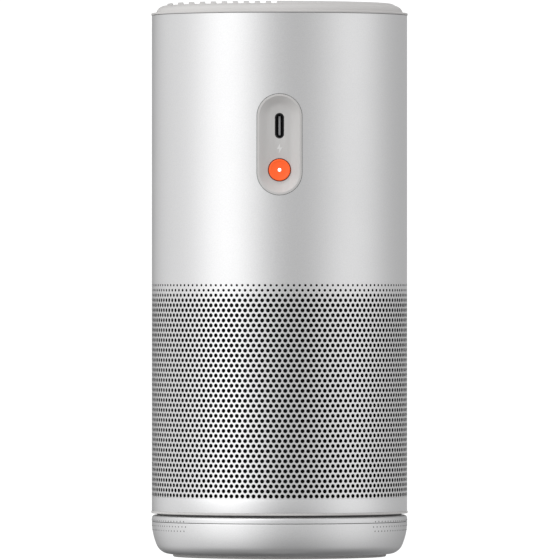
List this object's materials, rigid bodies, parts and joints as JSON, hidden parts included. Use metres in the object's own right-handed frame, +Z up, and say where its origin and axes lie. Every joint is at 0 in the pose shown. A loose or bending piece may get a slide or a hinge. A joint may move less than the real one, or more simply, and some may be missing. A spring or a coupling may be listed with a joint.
{
  "type": "smart speaker",
  "caption": "Portable cylindrical smart speaker: perforated metal sleeve, ribbed cap, recessed panel with charging port and power button, drivers, batteries and boards inside.",
  "frame": {"origin": "centre of the foot's underside, on the standing surface", "axes": "+Z up the speaker's axis; -Y out of the panel with the port and the button; +X to the right of someone who faces that panel"},
  "size_m": [0.0924, 0.0924, 0.1991],
  "materials": {
    "shell_aluminium": "fine blasted and clear anodised",
    "base_aluminium": "satin silver",
    "warm_grey_plastic": "fine moulded texture",
    "foot_rubber": "soft matte",
    "orange_plastic": "satin",
    "light_lens": "milky, lit from behind",
    "grille_fabric": "open acoustic weave",
    "dark_plastic": "moulded",
    "tray_plastic": "moulded",
    "seal_rubber": "soft",
    "ballast_steel": "zinc plated",
    "screw_steel": "plated",
    "circuit_board": "solder mask",
    "board_parts": "moulded packages and plugs",
    "tinned_steel": "tin or nickel plated",
    "tongue_plastic": "moulded with plated contacts",
    "spreader_aluminium": "mill finish",
    "touch_film_plastic": "clear amber film",
    "cell_wrap": "shrink film over a can",
    "lead_insulation": "soft insulation",
    "driver_frame_steel": "black coated",
    "magnet_iron": "sintered, sealed",
    "cone_aluminium": "spun",
    "radiator_steel": "satin",
    "surround_rubber": "soft roll"
  },
  "bodies": {
    "housing": {"ballast_plate": "ballast_steel", "base_cup": "base_aluminium", "base_ring": "base_aluminium", "base_screws": "screw_steel", "battery_board": "circuit_board", "battery_cell_1": "cell_wrap", "battery_cell_2": "cell_wrap", "battery_cell_3": "cell_wrap", "battery_cell_4": "cell_wrap", "battery_lead": "lead_insulation", "battery_tabs": "tinned_steel", "cable_gland": "seal_rubber", "cap_screws": "screw_steel", "core_frame": "dark_plastic", "driver_screws": "screw_steel", "foot_pad": "foot_rubber", "front_driver_frame": "driver_frame_steel", "front_driver_magnet": "magnet_iron", "front_driver_surround": "surround_rubber", "grille_cloth": "grille_fabric", "heat_spreader": "spreader_aluminium", "left_radiator_frame": "driver_frame_steel", "left_radiator_surround": "surround_rubber", "light_board": "circuit_board", "light_guide": "light_lens", "lower_battery_tray": "tray_plastic", "lower_chassis": "dark_plastic", "lower_trim_ring": "warm_grey_plastic", "main_board": "circuit_board", "main_board_parts": "board_parts", "microphone_board": "circuit_board", "microphone_board_parts": "board_parts", "microphone_lead": "lead_insulation", "microphone_seals": "seal_rubber", "outer_shell": "shell_aluminium", "panel_board": "circuit_board", "panel_board_parts": "board_parts", "panel_lead": "lead_insulation", "port_panel": "warm_grey_plastic", "processor_shield": "tinned_steel", "rear_driver_frame": "driver_frame_steel", "rear_driver_magnet": "magnet_iron", "rear_driver_surround": "surround_rubber", "right_radiator_frame": "driver_frame_steel", "right_radiator_surround": "surround_rubber", "speaker_box": "dark_plastic", "speaker_box_lid": "dark_plastic", "speaker_leads": "lead_insulation", "top_cap": "warm_grey_plastic", "touch_film": "touch_film_plastic", "upper_battery_tray": "tray_plastic", "usb_receptacle": "tinned_steel", "usb_tongue": "tongue_plastic"},
    "power_button_body": {"power_button": "orange_plastic", "button_light_pipe": "light_lens"},
    "front_cone_body": {"front_driver_cone": "cone_aluminium"},
    "rear_cone_body": {"rear_driver_cone": "cone_aluminium"},
    "left_plate_body": {"left_radiator_plate": "radiator_steel"},
    "right_plate_body": {"right_radiator_plate": "radiator_steel"}
  },
  "joints": [
    {"name": "power_button_press", "type": "slide", "parent": "housing", "child": "power_button_body", "axis": [0, 1, 0], "range_m": [0, 0.0005], "stiffness_N_per_m": 2000, "springref_m": -0.0003},
    {"name": "front_cone_stroke", "type": "slide", "parent": "housing", "child": "front_cone_body", "axis": [0, 1, 0], "range_m": [-0.0025, 0.0025], "stiffness_N_per_m": 1200, "deforming": ["front_driver_surround"]},
    {"name": "rear_cone_stroke", "type": "slide", "parent": "housing", "child": "rear_cone_body", "axis": [0, 1, 0], "range_m": [-0.0025, 0.0025], "stiffness_N_per_m": 1200, "deforming": ["rear_driver_surround"]},
    {"name": "left_radiator_stroke", "type": "slide", "parent": "housing", "child": "left_plate_body", "axis": [1, 0, 0], "range_m": [-0.003, 0.003], "stiffness_N_per_m": 900, "deforming": ["left_radiator_surround"]},
    {"name": "right_radiator_stroke", "type": "slide", "parent": "housing", "child": "right_plate_body", "axis": [1, 0, 0], "range_m": [-0.003, 0.003], "stiffness_N_per_m": 900, "deforming": ["right_radiator_surround"]}
  ]
}
